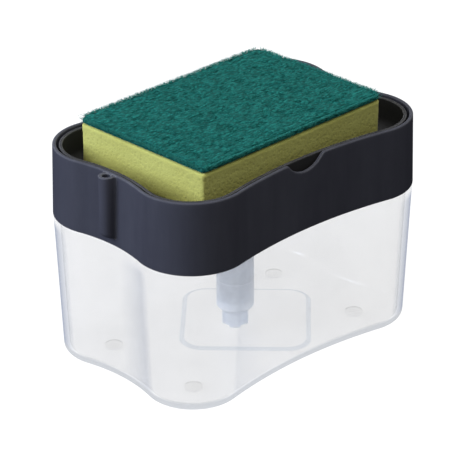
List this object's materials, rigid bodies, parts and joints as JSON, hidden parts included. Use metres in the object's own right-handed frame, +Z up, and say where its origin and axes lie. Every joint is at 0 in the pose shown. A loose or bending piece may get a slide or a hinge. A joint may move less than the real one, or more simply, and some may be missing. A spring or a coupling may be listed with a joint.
{
  "type": "soap pump caddy",
  "caption": "Counter-top soap pump caddy: frosted soap tank with a waisted outline, dark collar, spring pump and a press tray that holds a scouring sponge.",
  "frame": {"origin": "middle of the caddy on the surface that it stands on", "axes": "+X along the caddy, away from the accessory socket; -Y towards the side with the finger notch; +Z up"},
  "size_m": [0.1355, 0.0916, 0.0989],
  "materials": {
    "tank_frosted": "frosted, see-through",
    "foot_rubber": "soft, milky",
    "collar_plastic": "satin moulded",
    "gasket_rubber": "matt",
    "barrel_plastic": "milky, blue-grey",
    "pump_white": "natural white",
    "ball_steel": "polished",
    "spring_steel": "drawn wire",
    "tray_plastic": "satin moulded",
    "outlet_plastic": "satin moulded",
    "foam_yellow": "open-cell foam",
    "pad_green": "matted abrasive fibre"
  },
  "bodies": {
    "tank_body": {"tank": "tank_frosted", "tank_feet": "foot_rubber"},
    "collar_body": {"collar": "collar_plastic", "pump_gasket": "gasket_rubber", "pump_barrel": "barrel_plastic", "pump_nut": "collar_plastic", "stem_guide": "pump_white", "pump_foot": "barrel_plastic", "ball_retainer": "pump_white", "return_spring": "spring_steel"},
    "tray_body": {"tray": "tray_plastic", "outlet_cap": "outlet_plastic", "stem": "pump_white", "piston": "pump_white", "valve_plug": "pump_white"},
    "inlet_valve": {"inlet_ball": "ball_steel"},
    "outlet_valve": {"outlet_ball": "ball_steel"},
    "sponge": {"sponge_foam": "foam_yellow", "scouring_pad": "pad_green"}
  },
  "joints": [
    {"name": "collar_lift", "type": "slide", "parent": "tank_body", "child": "collar_body", "axis": [0, 0, 1], "range_m": [0, 0.075]},
    {"name": "tray_press", "type": "slide", "parent": "collar_body", "child": "tray_body", "axis": [0, 0, -1], "range_m": [0, 0.008], "stiffness_N_per_m": 600, "springref_m": -0.005, "deforming": ["return_spring"]},
    {"name": "inlet_ball_lift", "type": "slide", "parent": "collar_body", "child": "inlet_valve", "axis": [0, 0, 1], "range_m": [0, 0.0014]},
    {"name": "outlet_ball_lift", "type": "slide", "parent": "tray_body", "child": "outlet_valve", "axis": [0, 0, 1], "range_m": [0, 0.0012]},
    {"name": "sponge_lift", "type": "slide", "parent": "tray_body", "child": "sponge", "axis": [0, 0, 1], "range_m": [0, 0.06]}
  ]
}
